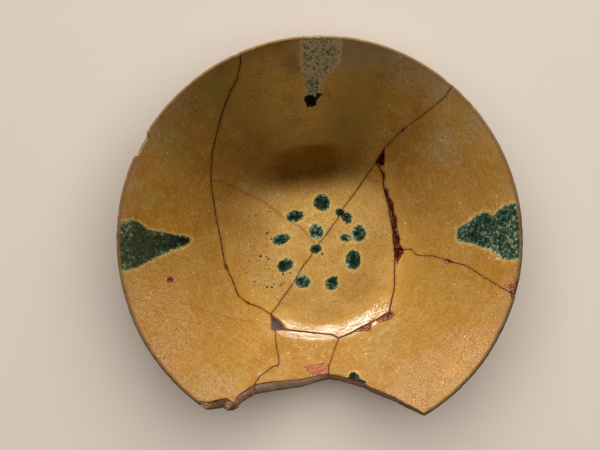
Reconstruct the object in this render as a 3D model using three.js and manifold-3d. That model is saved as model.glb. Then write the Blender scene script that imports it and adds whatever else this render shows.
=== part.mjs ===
// A thrown earthenware bowl on a flat disc foot, broken into seven sherds that have been joined
// again, with one section of the wall and rim lost. Millimetres, +Z up. The origin is the centre
// of the foot's underside, the bowl's axis is Z, and the lost section faces -Y.
import * as THREE from 'three';
import { mergeVertices } from 'three/addons/utils/BufferGeometryUtils.js';
import Module from 'manifold-3d';

const wasm = await Module();
wasm.setup();

// ---------------------------------------------------------------- driving dimensions
const RIM_RADIUS = 120;
const RIM_HEIGHT = 66;
const LIP_ROUND = 2.4; // radius of the rounded edge of the lip
const FOOT_RADIUS = 47.5;
const FOOT_HEIGHT = 5;
const FOOT_CHAMFER = 0.7;
const FLOOR_THICKNESS = 12.4; // at the centre, foot included
const WALL_THICKNESS = 6.5; // square to the wall
const WALL_START = new THREE.Vector2(66, 24.4); // inner face, where the floor's curve ends
const WALL_END = new THREE.Vector2(108, 60); // inner face, where the lip flares out
const OVALNESS = 1.01; // the rim was pulled slightly oval, longer along Y
const TURNS = 96; // flats round the bowl

const CRACK_WIDTH = 0.5; // gap left between two joined sherds
const TIGHT_CRACK_WIDTH = 0.36;
const SPALL_FLOOR_Z = 11.4; // how deep the flaked edge beside the floor crack goes
const BREAK_APEX_Z = 200; // breaks fan out from here, so they cut nearly square to the wall
const CUT_TOP_Z = RIM_HEIGHT + 8;
const CUT_BOTTOM_Z = -4;

// ---------------------------------------------------------------- the break lines
// Plan positions on the inner face, each list running from its first named end to the other.
const LEFT_CRACK = [ // rim to the corner of the hole, round the left of the floor
  [-47.5, 117], [-47, 104], [-49.5, 95.5], [-53.5, 89], [-58.5, 77.5], [-61.5, 67.5], [-65, 55.5],
  [-66.5, 43], [-66, 32], [-64, 17], [-61, 2.5], [-58, -15], [-52.5, -26], [-50, -33], [-45, -37],
  [-36.5, -40.5], [-29.5, -44],
];
const DIAGONAL_CRACK = [ // corner of the hole to the rim, across the floor
  [-30, -44.5], [-24, -36], [-17, -26], [-11.5, -16.5], [-5.5, -8.5], [-1.6, -2.2], [3.4, 4.1],
  [12, 15.5], [15.2, 22], [23.3, 32.8], [32.7, 46.4], [35.1, 49.3], [39.8, 57.2], [45.6, 63.4],
  [50, 67], [61.5, 75], [71.5, 82], [75, 85], [78.5, 90], [82, 95],
];
const FLOOR_CRACK = [ // left crack to the diagonal crack
  [-67, 37.8], [-59.5, 37], [-37, 26.8], [-28, 20.6], [-22, 15.6], [-12.2, 10], [-7.2, 5],
  [-1.2, -2.5],
];
const RIGHT_CRACK = [ // diagonal crack down the right of the floor
  [34.8, 49.6], [39.2, 43], [40, 34], [42.7, 23.7], [45.7, 6.8], [46.9, -7.5], [46.4, -20],
  [46, -29.3], [42.4, -43.5],
];
const SIDE_CRACK = [ // right crack to the rim
  [46.4, -4], [56.8, -4.2], [59.8, -8], [69.7, -8.6], [79.3, -12.4], [86.6, -14.4], [95.8, -21],
  [106.4, -28.7], [114.6, -33.2], [121, -36],
];
const LOWER_CRACK = [ // hole to the foot of the right crack
  [-20.5, -53.8], [-3, -56], [8.3, -57.2], [11.7, -59.3], [23.8, -53.3], [37.8, -46], [43, -42.6],
];
const SHORT_CRACK = [ // lower crack to the lost section
  [11.7, -58.8], [9.5, -64.2], [6.3, -73.8], [5.3, -77], [5.4, -83],
];
const FORKED_CRACK = [ // hole to the lost section
  [-27.5, -52.5], [-27, -60], [-24.5, -73.5], [-25, -75.5], [-28.2, -76.3], [-36, -82],
  [-40.5, -89.5],
];
const HOLE = [ // the three-cornered hole at the edge of the floor
  [-30.2, -44.2], [-29.4, -54], [-19.8, -54], [-21.5, -52.3], [-25.2, -47.9],
];
const LOST_SECTION = [ // the lost part of the wall and rim, wider than the bowl on its outer side
  [-76, -112], [-70, -95.5], [-65.5, -96], [-55, -94], [-50.5, -97], [-49, -93.5], [-46, -91],
  [-39, -86.8], [-29.7, -85.3], [-12, -84], [-4.6, -82.3], [5.3, -80.5], [11, -81.5],
  [17.7, -83.2], [25.5, -85.4], [30.4, -88.1], [43.4, -93.1], [53, -98.2], [60.5, -102.5],
  [66, -114], [0, -140],
];
const FLAKED_EDGE = [ // clay lost along the right side of the right crack
  [40.2, 33], [42.2, 33.6], [45.1, 28], [47.6, 24.9], [47.9, 19.3], [49.5, 8.1], [51.6, -3],
  [51.3, -8.2], [48.2, -11.9], [46.7, -7.5], [45.5, 5], [44.2, 17.4],
];
// Chips out of the lip: where each starts and ends round the rim, in degrees, and its depth.
const LIP_CHIPS = [
  { from: 148.5, to: 156.5, depth: 2.6 },
  { from: 171.2, to: 173.6, depth: 1.1 },
  { from: 180, to: 181.8, depth: 0.9 },
  { from: 343.2, to: 348.3, depth: 1.6 },
];
// A point inside the clay of each sherd.
const SHERDS = [
  { name: 'left_wall_sherd', inside: [-90, 0, 39], colour: 0x8a6430 },
  { name: 'top_wall_sherd', inside: [0, 90, 39], colour: 0x7a5a2a },
  { name: 'floor_left_sherd', inside: [-35, 0, 8], colour: 0xa47a3c },
  { name: 'floor_right_sherd', inside: [20, -20, 8], colour: 0xb0854a },
  { name: 'right_upper_sherd', inside: [85, 30, 39], colour: 0x86622f },
  { name: 'right_lower_sherd', inside: [70, -57, 39], colour: 0xb88b48 },
  { name: 'lower_middle_sherd', inside: [-8, -70, 24], colour: 0xc0934f },
];
const SEED_SIZE = 0.4; // side of the cube that finds a sherd by its inside point

// ---------------------------------------------------------------- the thrown shape
// Inner face from the axis out to the lip.
const innerFace = [
  new THREE.Vector2(0, FLOOR_THICKNESS),
  new THREE.Vector2(30, FLOOR_THICKNESS + 0.2),
  new THREE.Vector2(43, FLOOR_THICKNESS + 0.6),
  new THREE.Vector2(50, FLOOR_THICKNESS + 2.1),
  new THREE.Vector2(56, FLOOR_THICKNESS + 4.9),
  new THREE.Vector2(61, FLOOR_THICKNESS + 8.2),
  WALL_START,
  WALL_START.clone().lerp(WALL_END, 0.5),
  WALL_END,
  new THREE.Vector2(113, 63.6),
];

function lipEdge() {
  const centre = new THREE.Vector2(RIM_RADIUS - LIP_ROUND, RIM_HEIGHT - LIP_ROUND);
  const underside = THREE.MathUtils.degToRad(-62);
  const top = THREE.MathUtils.degToRad(108);
  const steps = 5;
  return Array.from({ length: steps + 1 }, (_, i) => {
    const angle = THREE.MathUtils.lerp(underside, top, i / steps);
    return new THREE.Vector2(Math.cos(angle), Math.sin(angle)).multiplyScalar(LIP_ROUND).add(centre);
  });
}

function outerFace() {
  const along = WALL_END.clone().sub(WALL_START).normalize();
  const outward = new THREE.Vector2(along.y, -along.x).multiplyScalar(WALL_THICKNESS);
  return [
    new THREE.Vector2(0, 0),
    new THREE.Vector2(FOOT_RADIUS - FOOT_CHAMFER, 0),
    new THREE.Vector2(FOOT_RADIUS, FOOT_CHAMFER),
    new THREE.Vector2(FOOT_RADIUS, FOOT_HEIGHT),
    new THREE.Vector2(FOOT_RADIUS + 2, FOOT_HEIGHT + 1.2),
    new THREE.Vector2(61, 12.4),
    WALL_START.clone().add(outward),
    WALL_END.clone().add(outward),
    new THREE.Vector2(115.2, 58.4),
  ];
}

// Height of the inner face at a distance from the axis.
function innerHeight(radius) {
  const face = [...innerFace, new THREE.Vector2(RIM_RADIUS, RIM_HEIGHT)];
  const outer = face.findIndex((point) => point.x >= radius);
  if (outer <= 0) {
    return outer === 0 ? FLOOR_THICKNESS : RIM_HEIGHT;
  }
  const a = face[outer - 1];
  const b = face[outer];
  return THREE.MathUtils.mapLinear(radius, a.x, b.x, a.y, b.y);
}

function toSolid(geometry) {
  const bare = geometry.index ? geometry.clone() : geometry;
  bare.deleteAttribute('normal');
  bare.deleteAttribute('uv');
  const merged = mergeVertices(bare, 1e-4);
  const mesh = new wasm.Mesh({
    numProp: 3,
    vertProperties: new Float32Array(merged.attributes.position.array),
    triVerts: new Uint32Array(merged.index.array),
  });
  return new wasm.Manifold(mesh);
}

function thrownBowl() {
  const closed = [...outerFace(), ...lipEdge(), ...[...innerFace].reverse()];
  const geometry = new THREE.LatheGeometry(closed, TURNS);
  geometry.rotateX(Math.PI / 2);
  geometry.scale(1, OVALNESS, 1);
  return toSolid(geometry);
}

// ---------------------------------------------------------------- the breaks
// A closed outline on the inner face, carried through the wall along lines from the apex.
function breakSolid(outline, bottom = CUT_BOTTOM_Z) {
  const onGround = outline.map(([x, y]) => {
    const spread = BREAK_APEX_Z / (BREAK_APEX_Z - innerHeight(Math.hypot(x, y)));
    return new THREE.Vector2(x * spread, y * spread);
  });
  const depth = CUT_TOP_Z - bottom;
  const geometry = new THREE.ExtrudeGeometry(new THREE.Shape(onGround), { depth, bevelEnabled: false });
  const position = geometry.attributes.position;
  for (let i = 0; i < position.count; i += 1) {
    const z = position.getZ(i) + bottom;
    const shrink = (BREAK_APEX_Z - z) / BREAK_APEX_Z;
    position.setXYZ(i, position.getX(i) * shrink, position.getY(i) * shrink, z);
  }
  return toSolid(geometry);
}

// A crack is a narrow strip along its line.
function crackOutline(line, width) {
  const points = line.map(([x, y]) => new THREE.Vector2(x, y));
  const side = (sign) => points.map((point, i) => {
    const before = points[Math.max(i - 1, 0)];
    const after = points[Math.min(i + 1, points.length - 1)];
    const along = after.clone().sub(before).normalize();
    return [point.x - (sign * along.y * width) / 2, point.y + (sign * along.x * width) / 2];
  });
  return [...side(1), ...side(-1).reverse()];
}

function lipChipOutline({ from, to, depth }) {
  const clear = 6; // how far the outline runs outside the lip
  const bites = [[from, -clear], [from, 0], [0.7 * from + 0.3 * to, depth],
    [0.3 * from + 0.7 * to, 0.85 * depth], [to, 0], [to, -clear]];
  return bites.map(([degrees, bite]) => {
    const angle = THREE.MathUtils.degToRad(degrees);
    const radius = RIM_RADIUS - bite;
    return [radius * Math.cos(angle), radius * Math.sin(angle)];
  });
}

const breaks = [
  ...[LEFT_CRACK, DIAGONAL_CRACK, RIGHT_CRACK, SIDE_CRACK, LOWER_CRACK, SHORT_CRACK, FORKED_CRACK]
    .map((line) => breakSolid(crackOutline(line, CRACK_WIDTH))),
  breakSolid(crackOutline(FLOOR_CRACK, TIGHT_CRACK_WIDTH)),
  breakSolid(HOLE),
  breakSolid(LOST_SECTION),
  breakSolid(FLAKED_EDGE, SPALL_FLOOR_Z),
  ...LIP_CHIPS.map((chip) => breakSolid(lipChipOutline(chip))),
];
const brokenBowl = breaks.reduce((bowl, cut) => bowl.subtract(cut), thrownBowl());
const fragments = brokenBowl.decompose();

// ---------------------------------------------------------------- the sherds
function toGeometry(solid) {
  const mesh = solid.getMesh();
  const geometry = new THREE.BufferGeometry();
  geometry.setAttribute('position', new THREE.BufferAttribute(mesh.vertProperties, 3));
  geometry.setIndex(new THREE.BufferAttribute(mesh.triVerts, 1));
  geometry.computeVertexNormals();
  return geometry;
}

function sherd({ name, inside, colour }) {
  const seed = new THREE.BoxGeometry(SEED_SIZE, SEED_SIZE, SEED_SIZE);
  seed.translate(...inside);
  const probe = toSolid(seed);
  const solid = fragments.find((fragment) => !fragment.intersect(probe).isEmpty());
  const glaze = new THREE.MeshStandardMaterial({ color: colour, roughness: 0.4, metalness: 0 });
  const mesh = new THREE.Mesh(toGeometry(solid), glaze);
  mesh.name = name;
  return mesh;
}

const bowl = new THREE.Group();
SHERDS.forEach((part) => bowl.add(sherd(part)));

export default bowl;
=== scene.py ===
"""A thrown earthenware bowl in amber lead glaze, dabbed and splashed with copper green,
broken into seven sherds that have been joined again, with one section of its rim lost.

Sizes are in millimetres until a mesh is made, and MM turns them to metres. +Z is up out of the
bowl's mouth, and the lost section of the rim faces -Y.
"""
import math

import bpy
import numpy as np
from mathutils import Matrix, Vector
from mathutils.geometry import delaunay_2d_cdt


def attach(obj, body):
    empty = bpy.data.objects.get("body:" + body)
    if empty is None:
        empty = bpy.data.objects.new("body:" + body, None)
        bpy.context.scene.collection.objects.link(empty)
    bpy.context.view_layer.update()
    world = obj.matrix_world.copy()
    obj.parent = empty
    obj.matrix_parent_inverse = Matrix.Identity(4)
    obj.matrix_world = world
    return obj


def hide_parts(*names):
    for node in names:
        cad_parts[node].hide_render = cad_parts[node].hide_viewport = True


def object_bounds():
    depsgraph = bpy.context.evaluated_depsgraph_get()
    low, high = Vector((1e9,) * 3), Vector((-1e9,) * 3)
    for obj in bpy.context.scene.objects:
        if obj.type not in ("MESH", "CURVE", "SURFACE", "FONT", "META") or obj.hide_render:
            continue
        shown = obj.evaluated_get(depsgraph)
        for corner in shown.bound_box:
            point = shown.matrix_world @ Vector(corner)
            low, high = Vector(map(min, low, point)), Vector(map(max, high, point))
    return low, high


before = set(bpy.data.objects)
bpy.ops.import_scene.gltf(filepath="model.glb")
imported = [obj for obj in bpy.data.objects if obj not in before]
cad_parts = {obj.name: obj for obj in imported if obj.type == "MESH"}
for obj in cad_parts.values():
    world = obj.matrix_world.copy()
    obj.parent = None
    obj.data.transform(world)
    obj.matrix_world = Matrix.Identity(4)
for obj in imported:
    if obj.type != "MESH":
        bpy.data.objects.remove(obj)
CAD_BOX = [list(corner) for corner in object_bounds()]
MM = 0.001

# ------------------------------------------------------------------ sizes taken from the frame
RIM_RADIUS = CAD_BOX[1][0] / MM
RIM_HEIGHT = CAD_BOX[1][2] / MM
OVALNESS = CAD_BOX[1][1] / CAD_BOX[1][0]

# ------------------------------------------------------------------ the thrown profile
LIP_ROUND = 1.15
LIP_INSET = (0.3, 0.25)  # how far the lip stays inside the frame's box, outward and upward
LIP_CENTRE = (RIM_RADIUS - LIP_ROUND - LIP_INSET[0], RIM_HEIGHT - LIP_ROUND - LIP_INSET[1])
INSIDE_PROFILE = [
    (0, 12.4), (20, 12.45), (38, 12.65), (44, 13.05), (47, 13.6), (50, 14.55), (53, 16.1),
    (58, 19.2), (60, 20.6), (66, 25.2), (70, 28.3), (87, 41.5), (104, 54.8), (110, 59.4),
    (115, 63.3),
]
OUTSIDE_PROFILE = [
    (117.3, 60.5), (115.2, 58.5), (112, 55.2), (108, 51.5), (91.2, 37.2), (75, 23.5), (70.2, 19.4),
    (62, 13.2), (54, 8.9), (49.6, 6.5), (48, 5.6), (47.5, 4.6), (47.5, 1.1), (47.2, 0.35),
    (46.4, 0), (43, 0), (0, 0),
]
BREAK_APEX = 200.0  # breaks fan out from this height on the axis, so they run square to the wall

# ------------------------------------------------------------------ where the bowl broke
CROSSING = (-1.6, -2.2)
RIGHT_FORK = (35.1, 49.3)
LEFT_FORK = (-66.4, 37.7)
SIDE_FORK = (46.6, -4.0)
FLOOR_CORNER = (42.7, -43.0)
LOWER_PEAK = (11.7, -59.3)
HOLE_TOP = (-30.2, -44.4)
HOLE_FOOT = (-27.4, -54.0)
HOLE_END = (-19.9, -54.0)
LOST_LEFT = (-39.1, -86.8)
LOST_MIDDLE = (5.4, -80.5)

BREAK_LINES = {
    "left_crack": [
        (-47.5, 117), (-47, 104), (-49.5, 95.5), (-53.5, 89), (-58.5, 77.5), (-61.5, 67.5),
        (-65, 55.5), (-66.5, 43), LEFT_FORK, (-66, 32), (-64, 17), (-61, 2.5), (-58, -15),
        (-52.5, -26), (-50, -33), (-45, -37), (-36.5, -40.5), HOLE_TOP],
    "diagonal_crack": [
        HOLE_TOP, (-24, -36), (-17, -26), (-11.5, -16.5), (-5.5, -8.5), CROSSING, (3.4, 4.1),
        (12, 15.5), (15.2, 22), (23.3, 32.8), (32.7, 46.4), RIGHT_FORK, (39.8, 57.2),
        (45.6, 63.4), (50, 67), (61.5, 75), (71.5, 82), (75, 85), (78.5, 90), (82, 95)],
    "floor_crack": [
        LEFT_FORK, (-59.5, 37), (-37, 26.8), (-28, 20.6), (-22, 15.6), (-12.2, 10), (-7.2, 5),
        CROSSING],
    "right_crack": [
        RIGHT_FORK, (39.2, 43), (40, 34), (42.7, 23.7), (45.7, 6.8), SIDE_FORK, (46.9, -7.5),
        (46.4, -20), (46, -29.3), FLOOR_CORNER],
    "side_crack": [
        SIDE_FORK, (56.8, -4.2), (59.8, -8), (69.7, -8.6), (79.3, -12.4), (86.6, -14.4),
        (95.8, -21), (106.4, -28.7), (114.6, -33.2), (121, -36)],
    "lower_crack": [
        HOLE_END, (-3, -56), (8.3, -57.2), LOWER_PEAK, (23.8, -53.3), (37.8, -46), FLOOR_CORNER],
    "short_crack": [LOWER_PEAK, (9.5, -64.2), (6.3, -73.8), (5.3, -77), LOST_MIDDLE],
    "forked_crack": [
        HOLE_FOOT, (-27, -60), (-24.5, -73.5), (-25, -75.5), (-28.2, -76.3), (-36, -82),
        LOST_LEFT],
    "hole": [
        HOLE_TOP, (-29.4, -54), HOLE_FOOT, HOLE_END, (-21.5, -52.3), (-25.2, -47.9), HOLE_TOP],
    "lost_section": [
        (-76, -106), (-70, -95.5), (-65.5, -96), (-55, -94), (-50.5, -97), (-49, -93.5),
        (-46, -91), LOST_LEFT, (-29.7, -85.3), (-12, -84), (-4.6, -82.3), LOST_MIDDLE,
        (11, -81.5), (17.7, -83.2), (25.5, -85.4), (30.4, -88.1), (43.4, -93.1), (53, -98.2),
        (60.5, -102.5), (63, -108)],
}
# Fine cracks in the glaze that don't go through.
HAIRLINES = {
    "left_hairline": [(-82.1, -38), (-69.5, -42.1), (-62.5, -43.9), (-54.9, -46.7), (-39.9, -49.5),
                      (-30.7, -51)],
    "right_hairline": [(91.7, 41.7), (94, 37.4), (96.4, 29.7)],
    "rim_hairline": [(103.5, 23.3), (104.7, 17.3)],
}
# Half of the gap left between two joined sherds, and how far dirt has crept in from it. The lost
# section and the hole have no other side.
HALF_GAP = {
    "left_crack": 0.07, "diagonal_crack": 0.05, "floor_crack": 0.02, "right_crack": 0.09,
    "side_crack": 0.06, "lower_crack": 0.08, "short_crack": 0.06, "forked_crack": 0.06,
    "hole": 0.0, "lost_section": 0.0, "lip": 0.0,
}
DIRT_REACH = {
    "left_crack": 0.3, "diagonal_crack": 0.24, "floor_crack": 0.04, "right_crack": 0.36,
    "side_crack": 0.26, "lower_crack": 0.36, "short_crack": 0.26, "forked_crack": 0.26,
    "hole": 0.2, "lost_section": 0.15,
}
# How far the wall's outer skin stands out beyond the inner one along the lost section: the least,
# and the most, at its -X end.
LOST_SLANT = (0.4, 3.2)
# Depth through the wall, from 0 to 1, and how much of the gap is open there: the edges of the
# joined sherds are chipped, and their faces meet below.
CRACK_SECTION = ((0, 0.13, 0.3, 0.8, 1), (1, 0.3, 0.12, 0.12, 0.8))
# Chips out of the lip: where each runs round the rim, in degrees, and its depth.
LIP_CHIPS = [(148.5, 156.5, 2.6), (171.2, 173.6, 1.1), (180.0, 181.8, 0.9), (343.2, 348.3, 1.3)]
# A point on the inner face of each sherd.
SHERDS = {
    "left_wall": (-90, 0), "top_wall": (0, 90), "floor_left": (-35, 0), "floor_right": (20, -20),
    "right_upper": (85, 30), "right_lower": (70, -57), "lower_middle": (-8, -70),
}

# ------------------------------------------------------------------ how fine the sherds are made
# Lengths are in millimetres.
GRAIN = 1.0  # spacing of points on the faces
BREAK_STEPS = 8  # rows of faces through the wall's thickness
EDGE_STEP = 0.75  # spacing of points along a break
EDGE_WANDER = 0.22  # how far a break strays from a straight line between its bends
BREAK_SEED = 7


def eased(points, rounds=3):
    """The same line with its corners cut, as a turning tool leaves them."""
    line = np.array(points, float)
    for _ in range(rounds):
        near = 0.75 * line[:-1] + 0.25 * line[1:]
        far = 0.25 * line[:-1] + 0.75 * line[1:]
        line = np.vstack([line[:1], np.stack([near, far], 1).reshape(-1, 2)[1:-1], line[-1:]])
    return line


def lengths(line):
    """Distance along a line to each of its points."""
    return np.concatenate([[0], np.cumsum(np.linalg.norm(np.diff(line, axis=0), axis=1))])


def thrown_profile():
    """The section of the bowl as two lines that meet at the lip: the inside from the axis out, and
    the outside from the lip back to the axis."""
    turn = np.radians(np.linspace(125, -62, 48))
    lip = np.array(LIP_CENTRE) + LIP_ROUND * np.stack([np.cos(turn), np.sin(turn)], 1)
    whole = np.vstack([eased(INSIDE_PROFILE + [tuple(lip[0])])[:-1], lip,
                       eased([tuple(lip[-1])] + OUTSIDE_PROFILE)[1:]])
    fan = whole[:, 0] / (BREAK_APEX - whole[:, 1])
    crest = int(np.argmax(fan))
    return whole, lengths(whole), fan, crest


PROFILE, PROFILE_LENGTH, PROFILE_FAN, CREST = thrown_profile()
CREST_RADIUS = PROFILE[CREST, 0]
LIP_LENGTH = PROFILE_LENGTH[CREST]


def along_inside(radius):
    return np.interp(radius, PROFILE[:CREST + 1, 0], PROFILE_LENGTH[:CREST + 1])


def along_outside(radius):
    """Where the line from the apex through the inner face comes out of the outer face."""
    fan = np.interp(radius, PROFILE[:CREST + 1, 0], PROFILE_FAN[:CREST + 1])
    outer = slice(len(PROFILE_FAN) - 1, CREST - 1, -1)
    return np.interp(fan, PROFILE_FAN[outer], PROFILE_LENGTH[outer])


# ------------------------------------------------------------------ the outline of each sherd
def wandering(line, step, stray, rng):
    """A line through the same bends, with small random strays between them."""
    points = []
    for start, end in zip(line[:-1], line[1:]):
        start, end = np.array(start, float), np.array(end, float)
        span = end - start
        length = np.linalg.norm(span)
        count = max(1, round(length / step))
        across = np.array([-span[1], span[0]]) / length
        swing = rng.normal(0, 1, count + 1).cumsum()
        swing -= np.linspace(swing[0], swing[-1], count + 1)
        swing *= stray / max(1e-6, np.abs(swing).max()) * min(1, length / 6) * rng.uniform(0.5, 1)
        share = np.linspace(0, 1, count + 1)[:-1, None]
        points.extend(start + span * share + across * swing[:-1, None])
    points.append(np.array(line[-1], float))
    return np.array(points)


def lip_radius(degrees):
    """Plan radius of the lip's crest, less the chips out of it."""
    bite = np.zeros_like(degrees)
    for start, end, depth in LIP_CHIPS:
        share = np.clip((degrees - start) / (end - start), 0, 1)
        bite = np.maximum(bite, depth * np.minimum(1, 3.2 * np.sin(math.pi * share)))
    return CREST_RADIUS - bite


def round_plan(points):
    """From the oval bowl to the true circle that it was pulled from."""
    return np.array(points, float) * (1, 1 / OVALNESS)


def distance_to_line(points, line):
    """Shortest distance from each point to a line, with the sides of a closed line left out."""
    best = np.full(len(points), np.inf)
    for a, b in zip(line[:-1], line[1:]):
        span = b - a
        share = np.clip(((points - a) @ span) / max(span @ span, 1e-9), 0, 1)
        best = np.minimum(best, np.linalg.norm(points - a - share[:, None] * span, axis=1))
    return best


def inside_outline(points, outline):
    inside = np.zeros(len(points), bool)
    for a, b in zip(outline, np.roll(outline, -1, axis=0)):
        crosses = (a[1] > points[:, 1]) != (b[1] > points[:, 1])
        drop = b[1] - a[1] if b[1] != a[1] else 1e-9
        inside ^= crosses & (points[:, 0] < (b[0] - a[0]) * (points[:, 1] - a[1]) / drop + a[0])
    return inside


def depth_inside(points, outline):
    """Distance to an outline, more than zero inside it."""
    outline = np.array(outline, float)
    distance = distance_to_line(points, np.vstack([outline, outline[:1]]))
    return np.where(inside_outline(points, outline), distance, -distance)


def plan_network(rng):
    """Every break line and the lip as points and edges, each edge with the name of its line."""
    points, edges, names = [], [], []
    lines = {name: round_plan(wandering(line, EDGE_STEP, EDGE_WANDER, rng))
             for name, line in {**BREAK_LINES, **HAIRLINES}.items()}
    around = np.linspace(0, 360, round(2 * math.pi * RIM_RADIUS / EDGE_STEP), endpoint=False)
    bearing = np.radians(around)
    radius = lip_radius(around)
    lip = np.stack([radius * np.cos(bearing), radius * np.sin(bearing)], 1)
    lines["lip"] = np.vstack([lip, lip[:1]])
    for name, line in lines.items():
        first = len(points)
        points.extend(line)
        edges.extend((i, i + 1) for i in range(first, first + len(line) - 1))
        names.extend([name] * (len(line) - 1))
    return lines, points, edges, names


def face_points(lines, rng):
    """Rings of points over the faces, kept clear of the break lines, closer together at the lip."""
    lip_rings = CREST_RADIUS - np.array([0.06, 0.18, 0.36, 0.6, 0.95, 1.5, 2.3])
    radii = np.concatenate([np.arange(GRAIN, lip_rings[-1] - 0.5 * GRAIN, GRAIN), lip_rings])
    rings = []
    for radius in radii:
        count = max(6, round(2 * math.pi * radius / GRAIN))
        bearing = (np.arange(count) + rng.uniform()) * 2 * math.pi / count
        rings.append(np.stack([radius * np.cos(bearing), radius * np.sin(bearing)], 1))
    points = np.vstack([np.zeros((1, 2))] + rings)
    points[:, :2] += rng.normal(0, 0.04 * GRAIN, points.shape)
    keep = np.ones(len(points), bool)
    for name, line in lines.items():
        if name == "lip":
            degrees = np.degrees(np.arctan2(points[:, 1], points[:, 0])) % 360
            keep &= np.hypot(*points.T) < lip_radius(degrees) - 0.06
        else:
            low, high = line.min(0) - GRAIN, line.max(0) + GRAIN
            near = np.where(((points > low) & (points < high)).all(1))[0]
            keep[near] &= distance_to_line(points[near], line) > 0.45 * GRAIN
    return points[keep]


def broken_plan():
    """The whole bowl in plan, cut along every break: points, triangles, the name of the line that
    each cut edge lies on, and the lines."""
    rng = np.random.default_rng(BREAK_SEED)
    lines, points, edges, names = plan_network(rng)
    points = [Vector(p) for p in points] + [Vector(p) for p in face_points(lines, rng)]
    found = delaunay_2d_cdt(points, edges, [], 0, 1e-5, True)
    plan = np.array([tuple(v) for v in found[0]])
    triangles = np.array(found[2])
    line_of_edge = {}
    for (a, b), origin in zip(found[1], found[4]):
        if origin and names[origin[0]] not in HAIRLINES:
            line_of_edge[(min(a, b), max(a, b))] = names[origin[0]]
    return plan, triangles, line_of_edge, lines


def fragments(plan, triangles, line_of_edge):
    """Triangles joined across every edge that isn't a break."""
    owner = {}
    parent = list(range(len(triangles)))

    def root(i):
        while parent[i] != i:
            parent[i] = parent[parent[i]]
            i = parent[i]
        return i

    for i, (a, b, c) in enumerate(triangles.tolist()):
        for edge in ((a, b), (b, c), (c, a)):
            key = (min(edge), max(edge))
            if key in line_of_edge:
                continue
            if key in owner:
                parent[root(i)] = root(owner[key])
            owner[key] = i
    label = np.array([root(i) for i in range(len(triangles))])
    centres = plan[triangles].mean(1)
    return {name: triangles[label == label[np.argmin(np.linalg.norm(centres - spot, axis=1))]]
            for name, spot in SHERDS.items()}


def inward_shift(plan, triangles, line_of_edge):
    """How each point on a sherd's edge moves in, so that half of the gap shows on its side."""
    count = {}
    for a, b, c in triangles.tolist():
        for edge in ((a, b), (b, c), (c, a)):
            key = (min(edge), max(edge))
            count[key] = None if key in count else edge
    rim = [edge for edge in count.values() if edge is not None]
    shift = np.zeros((len(plan), 2))
    slant = np.zeros((len(plan), 2))
    meeting = np.ones(len(plan))
    for a, b in rim:
        name = line_of_edge[(min(a, b), max(a, b))]
        half = HALF_GAP[name]
        span = plan[b] - plan[a]
        inward = np.array([-span[1], span[0]]) / np.linalg.norm(span)
        share = min(1, max(0, (8 - plan[a][0]) / 40)) * (name == "lost_section")
        lean = (name == "lost_section") * LOST_SLANT[0] + share * (LOST_SLANT[1] - LOST_SLANT[0])
        for end in (a, b):
            shift[end] += inward * half
            slant[end] -= inward * lean
            meeting[end] += 1
    meeting = np.maximum(meeting - 1, 1)[:, None]
    return rim, shift / meeting, slant / meeting


# ------------------------------------------------------------------ the painted and worn places
# Dabs of copper green on the floor: centre, width, height, tilt in degrees, how thin the dab is.
DABS = [
    (1.5, 25.0, 10.2, 10.0, 0, 0.1), (-15.2, 16.7, 10.8, 7.2, 15, 0.15),
    (-23.8, 2.1, 10.8, 6.6, 15, 0.25), (-21.7, -14.0, 10.4, 7.2, 25, 0.1),
    (-10.6, -24.0, 9.8, 8.6, -20, 0.4), (7.4, -25.4, 8.2, 7.6, 20, 0.2),
    (9.0, -22.6, 4.2, 5.4, -20, 0.1), (21.2, -10.5, 9.8, 12.4, 0, 0.25),
    (24.7, 6.0, 9.2, 10.6, 0, 0.4), (13.0, 18.9, 6.6, 5.6, -20, 0.2),
    (17.0, 15.4, 6.8, 8.0, 25, 0.25), (16.2, 3.1, 7.8, 5.6, -10, 0.5),
    (-2.0, 7.0, 9.6, 10.4, 25, 0.65), (-2.3, -4.0, 7.6, 6.4, 20, 0.3),
    (1.3, -6.4, 3.2, 2.8, 0, 0.1), (-5.6, 85.6, 7.6, 7.6, 0, -0.6),
    (-1.4, 88.0, 2.8, 2.2, 20, -0.6), (20.3, -82.4, 6.4, 5.8, 0, -0.7),
    (24.3, -84.6, 6.0, 2.8, -25, -0.7),
]
# Splashes of copper green that ran in from the rim: outline, and how weathered each end is.
SPLASHES = {
    "right": ([(83.2, 0.6), (83.2, 7.4), (86.4, 9.2), (90.6, 11.4), (94, 14.8), (98, 17.2),
               (101, 16), (103, 14.2), (106.8, 18), (110.6, 20.4), (115, 21), (125, 19),
               (126, -12), (114.3, -12.8), (110, -13), (106.7, -11.2), (103.6, -7.8), (95, -3.6),
               (91.7, -1.7), (86.7, -1.3)], 0.3, 0.78),
    "left": ([(-78.4, 0.4), (-79.8, 2.6), (-86.8, 3.9), (-97.8, 5), (-103, 6.6), (-106.7, 10.3),
              (-111.3, 11.4), (-116, 10), (-126, 7), (-126, -18), (-113.3, -19), (-107.3, -16.8),
              (-102, -13.5), (-96, -9.3), (-88.5, -5.3), (-81, -2.2)], -0.15, 0.62),
    "top": ([(-12, 126), (13, 126), (12.4, 106), (6.4, 101), (2, 96), (0, 91), (-2, 87),
             (-8.6, 87), (-9.6, 97), (-11.4, 104)], 1.6, 1.8),
}
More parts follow.
